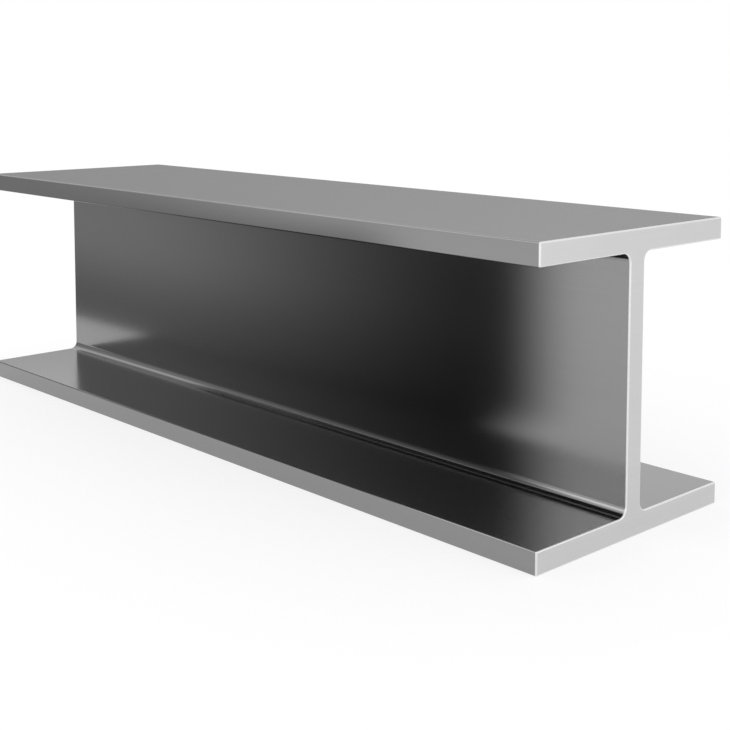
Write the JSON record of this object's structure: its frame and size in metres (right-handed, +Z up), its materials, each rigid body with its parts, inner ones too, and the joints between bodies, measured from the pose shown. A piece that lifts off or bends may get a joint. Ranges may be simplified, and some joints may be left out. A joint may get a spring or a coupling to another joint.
{
  "type": "steel i-beam",
  "caption": "Short sawn length of heavy rolled steel beam: parallel flanges joined by a web as thick as they are, small root fillets and softly broken edges. Carries load in a building frame.",
  "frame": {"origin": "centre of the bottom flange's underside, on the floor", "axes": "+X along the beam, +Y across the flanges, +Z up, from the bottom flange to the top flange"},
  "size_m": [1.13, 0.317, 0.329],
  "materials": {
    "rolled_steel": "clean satin rolled skin, paler sawn ends"
  },
  "bodies": {
    "root": {"i_beam": "rolled_steel"}
  },
  "joints": []
}
